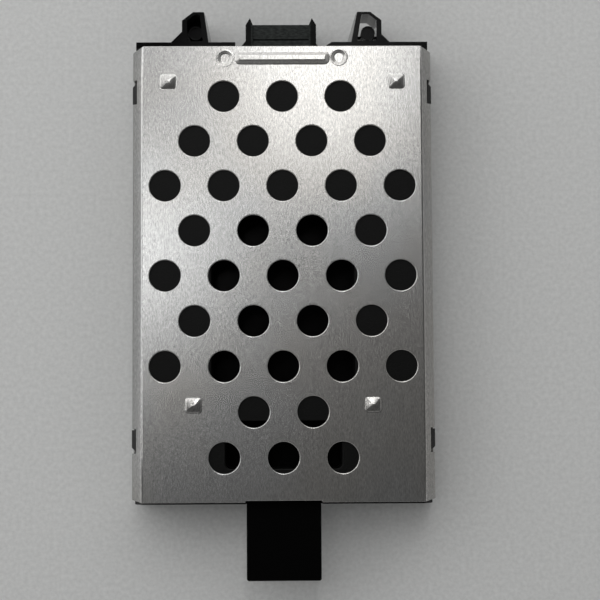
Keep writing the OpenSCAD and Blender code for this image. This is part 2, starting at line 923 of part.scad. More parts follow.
// The flex cable under both boards, with a slack loop between them
module flex_cable() {
    overlap = 1;
    flex_lift = 0.35;
    dip = board_z - floor_t - flex_t - flex_lift;
    down = socket_board_y[1] + flex_t;
    up = conn_board_y[0] - flex_t;
    bend = 0.35;
    upper = [
        [socket_board_y[0] + overlap, board_z], [down, board_z], [down, board_z - dip],
        [up, board_z - dip], [up, board_z], [conn_board_y[1] - overlap, board_z]
    ];
    lower = [
        [conn_board_y[1] - overlap, board_z - flex_t], [up + flex_t, board_z - flex_t],
        [up + flex_t, board_z - dip - flex_t], [down - flex_t, board_z - dip - flex_t],
        [down - flex_t, board_z - flex_t], [socket_board_y[0] + overlap, board_z - flex_t]
    ];
    color("#8a5a1c")
        strip(
            rounded(
                concat(upper, lower),
                [0, bend, bend, bend, bend, 0, 0, bend, bend + flex_t, bend + flex_t, bend, 0]
            ),
            flex_w
        );
}

// Outline in plan of the connector's horned column on the right
function horn_outline() = [
    [conn_w / 2 - horn_w, conn_rear],
    [conn_w / 2, conn_rear],
    [conn_w / 2, conn_front - 0.1],
    [conn_w / 2 - horn_w * 0.6, conn_front + horn_l],
    [conn_w / 2 - horn_w, conn_front]
];

// The outer connector without its mouth: body, horned columns, gussets and the rim behind the wall
module connector_body() {
    body_half = conn_w / 2 - 0.4;
    seam_y = flange_y + 1.3;
    seam_w = 0.35;
    rim_w = 2;
    gusset = [[0.5, 0.75], [1.2, 1.5]];
    gusset_y = flange_y - 0.15;
    block([-body_half, conn_rear, board_top], [body_half, conn_front, board_top + conn_h - 0.8]);
    block([-body_half, seam_y + seam_w, board_top], [body_half, conn_front, board_top + conn_h - 0.4]);
    block([-body_half, conn_rear, board_top], [body_half, seam_y, board_top + conn_h - 0.4]);
    block(
        [-conn_w / 2 - rim_w, inner_front - rim_w, board_top],
        [conn_w / 2 + rim_w, inner_front - conn_gap, board_top + conn_h]
    );
    for (side = [0, 1])
        mirror([side, 0, 0]) {
            slab(horn_outline(), board_top, board_top + conn_h);
            slab(
                [
                    [conn_w / 2 - root, wall_front + bore_gap],
                    [conn_w / 2 + gusset[side].x, wall_front + bore_gap],
                    [conn_w / 2 + gusset[side].x, gusset_y],
                    [conn_w / 2 - root, gusset_y + gusset[side].y + root]
                ],
                board_top,
                board_top + conn_h - 0.5
            );
        }
}

// The outer connector with its mouth and the tongue in it
module connector_housing() {
    z_mid = board_top + conn_h / 2;
    mouth_half = conn_w / 2 - horn_w - root;
    tongue_half = mouth_half - 0.5;
    color("#1b1d1c")
        translate([conn_x, 0, 0]) {
            difference() {
                connector_body();
                block(
                    [-mouth_half, mouth_rear, z_mid - mouth_h / 2],
                    [mouth_half, conn_front + horn_l + past, z_mid + mouth_h / 2]
                );
                for (side = [-1, 1])
                    translate([side * conn_screw_x, conn_screw_y, board_top - past])
                        cylinder(h = conn_h + 2 * past, d = head_d + 2 * conn_gap);
            }
            block(
                [-tongue_half, mouth_rear - root, z_mid - tongue_t / 2],
                [tongue_half, conn_front - tongue_sunk, z_mid + tongue_t / 2]
            );
        }
}

// Flat contacts on both faces of the tongue
module connector_contacts() {
    z_mid = board_top + conn_h / 2;
    pitch = (conn_w - 2 * horn_w - 2.4) / conn_pins;
    blade = [pitch * 0.55, conn_front - tongue_sunk - 0.5 - mouth_rear, 0.2];
    color("#c9a24a")
        for (i = [0:conn_pins - 1])
            for (face = [-1, 1])
                translate([
                    conn_x + (i - (conn_pins - 1) / 2) * pitch,
                    mouth_rear + 0.1 + blade.y / 2,
                    z_mid + face * (tongue_t + blade.z) / 2
                ])
                    cube(blade, center = true);
}

cover();
upper_damper();
tray();
snap_arms();
lower_damper();
left_damper();
right_damper();
rear_dampers();
front_dampers();
pull_tab();
socket_board();
socket_housing();
socket_contacts();
socket_screws();
flex_cable();
connector_board();
connector_housing();
connector_contacts();
connector_screws();
screw_inserts();
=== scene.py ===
# Looks of the laptop drive caddy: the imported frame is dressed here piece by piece.
# Sizes are millimetres times MM, in the frame's own axes: +Z up, +Y to the connector end.
import math

import bmesh
import bpy
from mathutils import Euler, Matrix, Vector


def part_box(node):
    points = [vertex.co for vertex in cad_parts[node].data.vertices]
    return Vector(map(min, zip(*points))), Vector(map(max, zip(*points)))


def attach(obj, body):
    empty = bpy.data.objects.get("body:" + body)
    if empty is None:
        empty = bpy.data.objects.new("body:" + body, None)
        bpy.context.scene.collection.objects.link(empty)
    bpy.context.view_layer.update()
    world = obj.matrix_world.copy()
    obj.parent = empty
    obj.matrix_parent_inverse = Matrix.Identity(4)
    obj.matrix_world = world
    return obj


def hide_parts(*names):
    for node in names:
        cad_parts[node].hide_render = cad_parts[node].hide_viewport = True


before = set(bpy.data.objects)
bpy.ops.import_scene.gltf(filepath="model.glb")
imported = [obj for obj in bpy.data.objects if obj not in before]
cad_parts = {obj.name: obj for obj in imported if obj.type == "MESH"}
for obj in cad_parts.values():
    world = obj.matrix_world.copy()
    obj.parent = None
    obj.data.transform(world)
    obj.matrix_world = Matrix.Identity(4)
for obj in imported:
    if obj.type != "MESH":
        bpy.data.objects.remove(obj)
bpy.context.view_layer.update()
MM = 0.001

# Camera: its place in millimetres and its turn in degrees

CAMERA_PLACE = (-0.295, -36.50, 408.63)
CAMERA_TURN = (4.232, -0.669, -0.315)
CAMERA_LENS = 90
CAMERA_SENSOR = 36

# Sheet of the steel cover, taken from the frame where it has the sizes

COVER_LOW, COVER_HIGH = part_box("cover")
RIB_H = 0.6 * MM
HALF_W = COVER_HIGH.x
REAR_Y, FRONT_Y = COVER_LOW.y, COVER_HIGH.y
TOP_Z = COVER_HIGH.z - RIB_H
SIDE_LOW = COVER_LOW.z
SHEET = 0.6 * MM
BEVEL_W = 2.6 * MM
BEVEL_H = 2.2 * MM
FOLD_R = 1.1 * MM
FOLD_STEPS = 6
RELIEF_FRONT = 1.4 * MM
RELIEF_REAR = 0.8 * MM
SLOT_Y = (48.2 * MM, -44.2 * MM)
SLOT_L = 6.4 * MM
SLOT_DROP = (1.3 * MM, 6.5 * MM)
NOTCH_W = 20 * MM
NOTCH_L = 0.5 * MM
CUT_EDGE = 0.12 * MM
CUT_CORNER = 55
CUT_REACH = 0.7 * MM
CUT_SIDE = 0.1 * MM
JOIN_WITHIN = 0.004 * MM
FLAT_NORMAL = 0.99999

# Perforation of the cover: holes in each row, from the connector end to the tab

HOLE_D = 8.2 * MM
HOLE_PITCH = 15.5 * MM
ROW_PITCH = 11.92 * MM
HOLE_SHIFT = 0.95 * MM
ROW_HOLES = (3, 4, 5, 4, 5, 4, 5, 2, 3)
HOLE_SIDES = 64
ROLLED_EDGE = 0.26 * MM
ROLLED_STEPS = 5

# Rib near the connector end, with the share of its half width that the sloping flank takes

RIB_BACK = 3.25 * MM
RIB_HALF = (12.7 * MM, 1.8 * MM)
RIB_CORNER = 1.5 * MM
RIB_FLANK = 0.76
RIB_EASE = 0.2

# Round dimples at the rib's ends

DIMPLE_X = 15.1 * MM
DIMPLE_BACK_RIGHT = 3.0 * MM
DIMPLE_BACK_LEFT = 3.25 * MM
DIMPLE_R = 2.45 * MM
DIMPLE_EDGE = 2.05 * MM
DIMPLE_FLAT = 1.15 * MM
DIMPLE_DEPTH = 0.33 * MM
DIMPLE_RIM = 0.03 * MM

# Pillow-shaped bumps, one pair near each end

BUMP_PLACES = ((30.3 * MM, 50.7 * MM), (23.5 * MM, -35 * MM))
BUMP_HALF = (2.3 * MM, 2.1 * MM)
BUMP_CORNER = 1.0 * MM
BUMP_H = 0.5 * MM
BUMP_FOOT = 0.25
BUMP_CROWN = 1.02

# Mesh of each pressed form: points round it, rings towards its middle, roundness of the last ring

PRESSED_POINTS = 48
PRESSED_RINGS = 22
PRESSED_ROUND = 0.25

# Materials' own sizes: marks of the mould's ejectors, and where the connector's horns start

EJECTOR_PITCH = 24 * MM
EJECTOR_R = 2.4 * MM
CONNECTOR_LOW, CONNECTOR_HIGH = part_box("connector_housing")
CONNECTOR_MID = (CONNECTOR_LOW.x + CONNECTOR_HIGH.x) / 2
HORN_FROM = 7.8 * MM
HORN_WHOLE = 8.2 * MM

# Widths of the rounded edges

MOULDING_EDGE = 0.2 * MM
HOUSING_EDGE = 0.15 * MM
SOCKET_EDGE = 0.12 * MM
FOAM_EDGE = 0.2 * MM
TAB_EDGE = 0.06 * MM
FLEX_EDGE = 0.04 * MM
BOARD_EDGE = 0.06 * MM
CONTACT_EDGE = 0.04 * MM
METAL_EDGE = 0.08 * MM

# Joining of vertices and faces before edges are rounded, and the angles of sharp edges in degrees

WELD = 0.001 * MM
LEVEL_ANGLE = 0.5
SHARP_ANGLE = 35
MOULDED_SHARP = 50

# Light: levels of the room's left and right walls and ceiling, and the heights where the ceiling starts

ROOM_WALLS = (0.62, 0.36)
ROOM_CEILING = 0.06
CEILING_RISE = (0.60, 0.76)
FLOOR_REACH = 2.5

# Lamps: name, place, target and size in metres, and level

LAMPS = (
    ("overhead strip", (0.04, 0.476, 1.016), (0.04, 0.476, 0), (0.126, 0.55), 3.6),
    ("overhead left", (-0.208, 0.12, 1.016), (-0.208, 0.12, 0), (0.27, 0.12), 2.85),
    ("far left", (-0.42, 0.0, 1.0), (0, 0, 0), (0.25, 0.3), 0.85),
    ("window", (-0.25, 0.50, 0.50), (0, 0, 0), (1.9, 0.7), 0.9),
)


def make_camera():
    """The photo's camera."""
    camera = bpy.data.objects.new("camera", bpy.data.cameras.new("camera"))
    camera.data.sensor_width = CAMERA_SENSOR
    camera.data.lens = CAMERA_LENS
    camera.data.clip_start = 0.05
    camera.data.clip_end = 20
    camera.location = Vector(CAMERA_PLACE) * MM
    camera.rotation_euler = Euler([math.radians(a) for a in CAMERA_TURN])
    bpy.context.scene.collection.objects.link(camera)
    bpy.context.scene.camera = camera
    bpy.context.scene.view_settings.view_transform = "Standard"


make_camera()


# Shader helpers

def put(tree, kind, *wires, **settings):
    """Adds a node, sets its options, and wires or fills each (socket, value)."""
    made = tree.nodes.new(kind)
    for name, value in settings.items():
        setattr(made, name, value)
    for socket, value in wires:
        if isinstance(value, bpy.types.NodeSocket):
            tree.links.new(value, made.inputs[socket])
        else:
            made.inputs[socket].default_value = value
    return made


def shader_group(name, inputs, outputs):
    """An empty shader group with named number sockets."""
    group = bpy.data.node_groups.new(name, "ShaderNodeTree")
    for label, value in inputs:
        socket = group.interface.new_socket(name=label, in_out="INPUT", socket_type="NodeSocketFloat")
        socket.default_value = value
    for label in outputs:
        group.interface.new_socket(name=label, in_out="OUTPUT", socket_type="NodeSocketFloat")
    return group, group.nodes.new("NodeGroupInput").outputs, group.nodes.new("NodeGroupOutput").inputs


def use_group(tree, group, **values):
    """Places a shader group in a material, with its inputs by name."""
    made = put(tree, "ShaderNodeGroup", node_tree=group)
    for label, value in values.items():
        made.inputs[label].default_value = value
    return made.outputs


def object_place(tree):
    """Object coordinates, which stay put on a piece in every pose."""
    return put(tree, "ShaderNodeTexCoord").outputs["Object"]


def make_grain_group():
    """Drawn-out grain along Y, with longer rolling lines and a slow cloudiness under it."""
    group, given, out = shader_group(
        "drawn grain", [("Across", 3000.0), ("Along", 300.0), ("Cloud", 40.0)], ["Grain", "Lines", "Clouds"]
    )
    place = object_place(group)

    def drawn(along, detail):
        stretch = put(
            group, "ShaderNodeCombineXYZ", ("X", given["Across"]), ("Y", along), ("Z", given["Across"])
        )
        where = put(
            group, "ShaderNodeVectorMath", (0, place), (1, stretch.outputs[0]), operation="MULTIPLY"
        )
        made = put(
            group, "ShaderNodeTexNoise", ("Vector", where.outputs[0]), ("Scale", 1.0), ("Detail", detail)
        )
        return made.outputs["Fac"]

    tenth = put(group, "ShaderNodeMath", (0, given["Along"]), (1, 0.1), operation="MULTIPLY")
    cloud = put(
        group, "ShaderNodeTexNoise", ("Vector", place), ("Scale", given["Cloud"]), ("Detail", 2.0)
    )
    group.links.new(drawn(given["Along"], 3.0), out["Grain"])
    group.links.new(drawn(tenth.outputs[0], 1.0), out["Lines"])
    group.links.new(cloud.outputs["Fac"], out["Clouds"])
    return group


def make_speckle_group():
    """Even fine speckle for mouldings and foam, with a slow drift under it."""
    group, given, out = shader_group(
        "fine speckle", [("Fine", 4000.0), ("Slow", 60.0)], ["Speckle", "Drift"]
    )
    place = object_place(group)
    fine = put(group, "ShaderNodeTexNoise", ("Vector", place), ("Scale", given["Fine"]), ("Detail", 4.0))
    slow = put(group, "ShaderNodeTexNoise", ("Vector", place), ("Scale", given["Slow"]), ("Detail", 3.0))
    group.links.new(fine.outputs["Fac"], out["Speckle"])
    group.links.new(slow.outputs["Fac"], out["Drift"])
    return group


grain_group = make_grain_group()
speckle_group = make_speckle_group()


def start_material(name, **plain):
    """A material with its Principled shader, whose plain sockets are set by name."""
    material = bpy.data.materials.new(name)
    material.use_nodes = True
    shader = material.node_tree.nodes["Principled BSDF"]
    for label, value in plain.items():
        shader.inputs[label.replace("_", " ")].default_value = value
    return material, material.node_tree, shader


def feed(tree, shader, **sources):
    """Links colours and levels to the shader's sockets by name."""
    for label, source in sources.items():
        tree.links.new(source, shader.inputs[label.replace("_", " ")])


def level(tree, value, low, high, start=0.3, end=0.7):
    """Maps a noise value from start to end onto a level from low to high."""
    made = put(
        tree, "ShaderNodeMapRange", ("Value", value), ("From Min", start), ("From Max", end),
        ("To Min", low), ("To Max", high),
    )
    return made.outputs["Result"]


def colour(tree, value, low, high, start=0.3, end=0.7):
    """Maps a noise value from start to end onto a colour from low to high."""
    made = put(tree, "ShaderNodeValToRGB", (0, value))
    for stop, place, shown in zip(made.color_ramp.elements, (start, end), (low, high)):
        stop.position = place
        stop.color = (*shown, 1)
    return made.outputs["Color"]


def combined(tree, first, second, mode="MULTIPLY"):
    """Two colours combined channel by channel: multiplied, or the lighter of them."""
    made = put(tree, "ShaderNodeMix", data_type="RGBA", blend_type=mode, clamp_factor=True)
    made.inputs["Factor"].default_value = 1.0
    sockets = [i for i in made.inputs if i.type == "RGBA"]
    tree.links.new(first, sockets[0])
    tree.links.new(second, sockets[1])
    return next(o for o in made.outputs if o.type == "RGBA")


def bump(tree, shader, height, strength, depth):
    """Feeds a height into the shader's normal."""
    made = put(tree, "ShaderNodeBump", ("Height", height), ("Strength", strength), ("Distance", depth))
    tree.links.new(made.outputs["Normal"], shader.inputs["Normal"])


def upward(tree):
    """How far a face looks up or down: 1 on flat ones, 0 on walls."""
    normal = put(tree, "ShaderNodeNewGeometry").outputs["Normal"]
    height = put(tree, "ShaderNodeSeparateXYZ", (0, normal)).outputs["Z"]
    return put(tree, "ShaderNodeMath", (0, height), operation="ABSOLUTE").outputs[0]


# Materials

def make_cover_steel():
    """Satin steel sheet: fine grain along its length, rolling lines, a few pits and a faint warm cast, with
    painted shade darkening its sloping faces such as the folds.
    """
    material, tree, shader = start_material("cover steel", Metallic=1.0)
    grain = use_group(tree, grain_group, Across=4200.0, Along=1000.0, Cloud=26.0)
    shiny = colour(tree, grain["Grain"], (0.50, 0.503, 0.498), (0.74, 0.74, 0.731), 0.32, 0.68)
    cast = colour(tree, grain["Clouds"], (1.0, 1.0, 1.0), (1.0, 0.975, 0.945), 0.42, 0.62)
    pits = put(tree, "ShaderNodeTexVoronoi", ("Vector", object_place(tree)), ("Scale", 95.0))
    dots = level(tree, pits.outputs["Distance"], 0.55, 1.0, 0.012, 0.03)
    # Painted shade: faces that slope away from flat, such as the folds and the flanks of pressed forms, are
    # darkened in colour.
    folded = level(tree, upward(tree), 0.7, 1.0, 0.80, 0.93)
    marked = combined(tree, combined(tree, shiny, cast), dots)
    feed(tree, shader, Base_Color=combined(tree, marked, folded))
    feed(tree, shader, Roughness=level(tree, grain["Lines"], 0.224, 0.248))
    bump(tree, shader, grain["Grain"], 0.05, 0.012 * MM)
    return material


def make_foam():
    """Closed-cell foam: dull black with fine pores."""
    material, tree, shader = start_material("foam", Roughness=0.42, Specular_IOR_Level=0.16)
    speckle = use_group(tree, speckle_group, Fine=2600.0, Slow=120.0)
    pores = colour(tree, speckle["Speckle"], (0.001, 0.0011, 0.001), (0.003, 0.0033, 0.003))
    feed(tree, shader, Base_Color=pores)
    bump(tree, shader, speckle["Speckle"], 0.6, 0.12 * MM)
    return material


def tray_gloss(tree):
    """Gloss of the tray's skin: stronger on faces seen at a slant and along rounded edges."""
    facing = put(tree, "ShaderNodeLayerWeight", ("Blend", 0.5)).outputs["Facing"]
    sheen = level(tree, facing, 0.0, 0.5, 0.2, 0.7)
    edges = level(tree, upward(tree), 0.85, 0.02, 0.93, 0.99)
    return put(tree, "ShaderNodeMath", (0, sheen), (1, edges), operation="MAXIMUM").outputs[0]


def ejector_marks(tree):
    """Round marks of the mould's ejectors, in a square grid."""
    cells = put(
        tree, "ShaderNodeTexVoronoi", ("Vector", object_place(tree)), ("Scale", 1 / EJECTOR_PITCH),
        ("Randomness", 0.0), voronoi_dimensions="2D",
    )
    edge = EJECTOR_R / EJECTOR_PITCH
    return level(tree, cells.outputs["Distance"], 1.0, 0.0, edge, edge + 0.01)


def make_tray_plastic():
    """Black moulded plastic with a half-gloss skin."""
    material, tree, shader = start_material("tray plastic", Specular_IOR_Level=0.05, Coat_Roughness=0.12)
    speckle = use_group(tree, speckle_group, Fine=1500.0, Slow=90.0)
    black = colour(tree, speckle["Drift"], (0.0034, 0.0034, 0.0035), (0.0066, 0.0066, 0.0068))
    feed(tree, shader, Base_Color=black, Coat_Weight=tray_gloss(tree))
    feed(tree, shader, Roughness=level(tree, speckle["Drift"], 0.16, 0.27))
    relief = put(
        tree, "ShaderNodeMath", (0, ejector_marks(tree)), (1, 0.6), (2, speckle["Speckle"]),
        operation="MULTIPLY_ADD",
    )
    bump(tree, shader, relief.outputs[0], 0.1, 0.05 * MM)
    return material


def make_tab_film():
    """Matt black film."""
    material, tree, shader = start_material("tab film", Specular_IOR_Level=0.03)
    speckle = use_group(tree, speckle_group, Fine=3000.0, Slow=140.0)
    black = colour(tree, speckle["Speckle"], (0.0005, 0.0005, 0.0005), (0.0013, 0.0013, 0.0013))
    feed(tree, shader, Base_Color=black, Roughness=level(tree, speckle["Drift"], 0.55, 0.7))
    bump(tree, shader, speckle["Drift"], 0.1, 0.1 * MM)
    return material


def make_connector_plastic():
    """Glass-filled plastic with short pale fibres, darker on the horns."""
    material, tree, shader = start_material("connector plastic", Specular_IOR_Level=0.1)
    grain = use_group(tree, grain_group, Across=900.0, Along=2200.0, Cloud=300.0)
    fibres = colour(tree, grain["Grain"], (0.014, 0.016, 0.0155), (0.043, 0.048, 0.0455))
    place = put(tree, "ShaderNodeSeparateXYZ", (0, object_place(tree))).outputs["X"]
    offset = put(tree, "ShaderNodeMath", (0, place), (1, -CONNECTOR_MID), operation="ADD")
    outward = put(tree, "ShaderNodeMath", (0, offset.outputs[0]), operation="ABSOLUTE")
    horns = level(tree, outward.outputs[0], 1.0, 0.12, HORN_FROM, HORN_WHOLE)
    feed(tree, shader, Base_Color=combined(tree, fibres, horns))
    feed(tree, shader, Roughness=level(tree, grain["Clouds"], 0.4, 0.6))
    bump(tree, shader, grain["Grain"], 0.25, 0.05 * MM)
    return material


def make_socket_plastic():
    """Fine black moulding of the inner socket."""
    material, tree, shader = start_material("socket plastic")
    speckle = use_group(tree, speckle_group, Fine=2000.0, Slow=150.0)
    black = colour(tree, speckle["Drift"], (0.006, 0.006, 0.006), (0.013, 0.013, 0.013))
    feed(tree, shader, Base_Color=black, Roughness=level(tree, speckle["Drift"], 0.4, 0.55))
    bump(tree, shader, speckle["Speckle"], 0.15, 0.03 * MM)
    return material


def make_board():
    """Green solder mask, lighter where it covers the copper tracks, with small bare pads."""
    material, tree, shader = start_material("circuit board", Coat_Weight=0.3)
    place = object_place(tree)
    tracks = put(tree, "ShaderNodeTexBrick", ("Vector", place), ("Scale", 330.0), ("Mortar Size", 0.12))
    pads = put(tree, "ShaderNodeTexVoronoi", ("Vector", place), ("Scale", 420.0), ("Randomness", 0.35))
    away = pads.outputs["Distance"]
    speckle = use_group(tree, speckle_group, Fine=3000.0, Slow=300.0)
    mask = colour(tree, tracks.outputs["Fac"], (0.010, 0.062, 0.027), (0.024, 0.125, 0.052), 0.0, 1.0)
    bare = colour(tree, away, (0.55, 0.42, 0.16), (0.0, 0.0, 0.0), 0.10, 0.13)
    feed(tree, shader, Base_Color=combined(tree, mask, bare, "LIGHTEN"))
    feed(tree, shader, Metallic=level(tree, away, 0.8, 0.0, 0.10, 0.13))
    feed(tree, shader, Roughness=level(tree, speckle["Drift"], 0.3, 0.42))
    bump(tree, shader, tracks.outputs["Fac"], 0.3, 0.03 * MM)
    return material


def uneven_metal(name, fine, slow, dark, light, smooth, rough):
    """A metal whose colour drifts a little and whose gloss is finely uneven."""
    material, tree, shader = start_material(name, Metallic=1.0)
    speckle = use_group(tree, speckle_group, Fine=fine, Slow=slow)
    feed(tree, shader, Base_Color=colour(tree, speckle["Drift"], dark, light))
    feed(tree, shader, Roughness=level(tree, speckle["Speckle"], smooth, rough))
    return material


def make_gold():
    """Gold plating of the contacts."""
    return uneven_metal("contact gold", 5000.0, 700.0, (0.72, 0.50, 0.18), (0.83, 0.63, 0.28), 0.2, 0.35)


def make_zinc():
    """Zinc plating of the screws."""
    return uneven_metal("screw zinc", 4000.0, 500.0, (0.5, 0.5, 0.51), (0.66, 0.66, 0.66), 0.25, 0.42)


def make_brass():
    """Turned brass of the inserts."""
    return uneven_metal("insert brass", 4000.0, 400.0, (0.58, 0.40, 0.13), (0.70, 0.52, 0.22), 0.25, 0.4)


def make_flex_film():
    """Amber film with copper tracks running along it."""
    material, tree, shader = start_material("flex film", Coat_Weight=0.4)
    wave = put(
        tree, "ShaderNodeTexWave", ("Vector", object_place(tree)), ("Scale", 160.0), bands_direction="X"
    )
    tracks = colour(tree, wave.outputs["Fac"], (0.16, 0.055, 0.01), (0.42, 0.2, 0.05), 0.45, 0.55)
    speckle = use_group(tree, speckle_group, Fine=2500.0, Slow=200.0)
    feed(tree, shader, Base_Color=tracks, Roughness=level(tree, speckle["Drift"], 0.25, 0.4))
    bump(tree, shader, wave.outputs["Fac"], 0.3, 0.02 * MM)
    return material


def make_floor_paint():
    """Pale paint of the floor."""
    material, tree, shader = start_material("floor", Roughness=0.7, Specular_IOR_Level=0.2)
    speckle = use_group(tree, speckle_group, Fine=900.0, Slow=8.0)
    pale = colour(tree, speckle["Speckle"], (0.69, 0.695, 0.685), (0.79, 0.795, 0.785))
    feed(tree, shader, Base_Color=pale)
    return material


cover_steel = make_cover_steel()
foam = make_foam()
tray_plastic = make_tray_plastic()
tab_film = make_tab_film()
connector_plastic = make_connector_plastic()
socket_plastic = make_socket_plastic()
board_mask = make_board()
contact_gold = make_gold()
screw_zinc = make_zinc()
insert_brass = make_brass()
flex_film = make_flex_film()


# Mesh helpers

def link_mesh(name, mesh):
    """An object for a mesh, at the origin."""
    made = bpy.data.objects.new(name, mesh)
    bpy.context.scene.collection.objects.link(made)
    return made


def shade(mesh, angle=SHARP_ANGLE):
    """Smooth shading with the edges sharper than the angle left crisp."""
    mesh.shade_smooth()
    mesh.set_sharp_from_angle(angle=math.radians(angle))


def evaluated(made):
    """A plain mesh of an object with its modifiers, which are then removed."""
    graph = bpy.context.evaluated_depsgraph_get()
    mesh = bpy.data.meshes.new_from_object(made.evaluated_get(graph))
    made.modifiers.clear()
    made.data = mesh
    return mesh


def dress(made, body, slot, *nodes):
    """Puts a finished piece on its body, in place of its nodes, which are hidden. The slot argument is not
    used.
    """
    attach(made, body)
    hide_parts(*nodes)
    return made


def softened(node, material, body, slot, width, segments=2):
    """A merged copy of a node with its edges rounded off."""
    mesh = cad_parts[node].data.copy()
    grid = bmesh.new()
    grid.from_mesh(mesh)
    bmesh.ops.remove_doubles(grid, verts=grid.verts, dist=WELD)
    level_within = math.radians(LEVEL_ANGLE)
    bmesh.ops.dissolve_limit(grid, angle_limit=level_within, verts=grid.verts, edges=grid.edges)
    grid.to_mesh(mesh)
    grid.free()
    mesh.materials.clear()
    mesh.materials.append(material)
    made = link_mesh(node + "_shape", mesh)
    edges = made.modifiers.new("rounded edges", "BEVEL")
    edges.width = width
    edges.segments = segments
    edges.limit_method = "ANGLE"
    edges.angle_limit = math.radians(SHARP_ANGLE)
    edges.miter_outer = "MITER_ARC"
    weights = made.modifiers.new("flat faces", "WEIGHTED_NORMAL")
    weights.keep_sharp = True
    shade(mesh, MOULDED_SHARP)
    evaluated(made)
    return dress(made, body, slot, node)


# Folded sides of the cover

def arc_points(centre, radius, start, end):
    """Points of an arc in the section's plane, angles in degrees from +X."""
    turns = [math.radians(start + (end - start) * i / FOLD_STEPS) for i in range(FOLD_STEPS + 1)]
    return [(centre[0] + radius * math.cos(t), centre[1] + radius * math.sin(t)) for t in turns]


def fold_section(inset):
    """Section of the right side from the flat top down to the lower edge, inset from the outer face."""
    slope = math.degrees(math.atan2(BEVEL_H, BEVEL_W))
    tan_upper = math.tan(math.radians(slope) / 2)
    tan_lower = math.tan(math.radians(90 - slope) / 2)
    upper = (HALF_W - BEVEL_W - inset * tan_upper, TOP_Z - inset)
    lower = (HALF_W - inset, TOP_Z - BEVEL_H - inset * tan_lower)
    radius = FOLD_R - inset
    top_centre = (upper[0] - radius * tan_upper, upper[1] - radius)
    side_centre = (lower[0] - radius, lower[1] - radius * tan_lower)
    top_arc = arc_points(top_centre, radius, 90, 90 - slope)
    side_arc = arc_points(side_centre, radius, 90 - slope, 0)
    slot_top = TOP_Z - SLOT_DROP[0]
    along = (top_arc[-1][1] - slot_top) / (top_arc[-1][1] - side_arc[0][1])
    slot_edge = tuple(a + (b - a) * along for a, b in zip(top_arc[-1], side_arc[0]))
    wall = [(HALF_W - inset, z) for z in (TOP_Z - SLOT_DROP[1], SIDE_LOW)]
    return top_arc + [slot_edge] + side_arc + wall


SECTION_OUT = fold_section(0)
SECTION_IN = fold_section(SHEET)
SLOT_ROWS = (FOLD_STEPS + 1, 2 * FOLD_STEPS + 3)
FLAT_OUT = SECTION_OUT[0][0]
FLAT_IN = SECTION_IN[0][0]


def stations():
    """Places along the cover where its folded sides have an edge across them."""
    edges = [y + side * SLOT_L / 2 for y in SLOT_Y for side in (-1, 1)]
    return [REAR_Y] + sorted(edges) + [FRONT_Y]


def relieved(x, y):
    """The end of the cover at a distance from its middle, with the corner cut off."""
    share = max(0, min(1, (x - FLAT_OUT) / (HALF_W - FLAT_OUT)))
    if y == FRONT_Y:
        return y - RELIEF_FRONT * share
    return y + RELIEF_REAR * share if y == REAR_Y else y


def slotted(near, far):
    """Whether a stretch along the cover lies in a slot."""
    middle = (near + far) / 2
    return any(abs(middle - y) < SLOT_L / 2 for y in SLOT_Y)


def folded_side(grid, side):
    """One bevelled and folded side with its two slots, as a skin open at the flat's edge."""
    places = stations()
    outer, inner = [
        [[grid.verts.new((side * x, relieved(x, y), z)) for y in places] for x, z in section]
        for section in (SECTION_OUT, SECTION_IN)
    ]
    rows, columns = len(SECTION_OUT) - 1, len(places) - 1
    cut = {(i, j) for i in range(*SLOT_ROWS) for j in range(columns) if slotted(places[j], places[j + 1])}
    kept = {(i, j) for i in range(rows) for j in range(columns)} - cut
    for i, j in kept:
        for skin in (outer, inner):
            grid.faces.new((skin[i][j], skin[i + 1][j], skin[i + 1][j + 1], skin[i][j + 1]))
        for near, a, b in (
            ((i - 1, j), (i, j), (i, j + 1)), ((i + 1, j), (i + 1, j), (i + 1, j + 1)),
            ((i, j - 1), (i, j), (i + 1, j)), ((i, j + 1), (i, j + 1), (i + 1, j + 1)),
        ):
            if near not in kept and near[0] >= 0:
                ends = outer[a[0]][a[1]], outer[b[0]][b[1]], inner[b[0]][b[1]], inner[a[0]][a[1]]
                grid.faces.new(ends)


# Pressed forms of the cover

def swell(share):
    """Smooth rise from 0 to 1."""
    return 0.5 - 0.5 * math.cos(math.pi * max(0, min(1, share)))


def eased(share, ease):
    """Straight rise from 0 to 1 with rounded ends."""
    t = max(0, min(1, share))
    if t < ease:
        return t * t / (2 * ease * (1 - ease))
    if t > 1 - ease:
        return 1 - (1 - t) * (1 - t) / (2 * ease * (1 - ease))
    return (t - ease / 2) / (1 - ease)


def rib_profile(share, across, along):
    """Height of the rib from its foot, 0, to its crest, 1."""
    return RIB_H * eased(share / RIB_FLANK, RIB_EASE)


def bump_profile(share, across, along):
    """Height of a pillow-shaped bump, from its place between the middle, 0, and the foot, 1."""
    pillow = max(0, BUMP_CROWN - abs(across) ** 2.2) * max(0, BUMP_CROWN - abs(along) ** 1.7)
    return BUMP_H * pillow * swell(share / BUMP_FOOT)


def dimple_profile(share, across, along):
    """Height of a dimple: a faint rim, a sloping wall and a flat round bottom."""
    away = DIMPLE_R * (1 - share)
    wall = swell((DIMPLE_EDGE - away) / (DIMPLE_EDGE - DIMPLE_FLAT))
    rim = swell(1 - abs(away - DIMPLE_EDGE) / (DIMPLE_R - DIMPLE_EDGE))
    return DIMPLE_RIM * rim - DIMPLE_DEPTH * wall


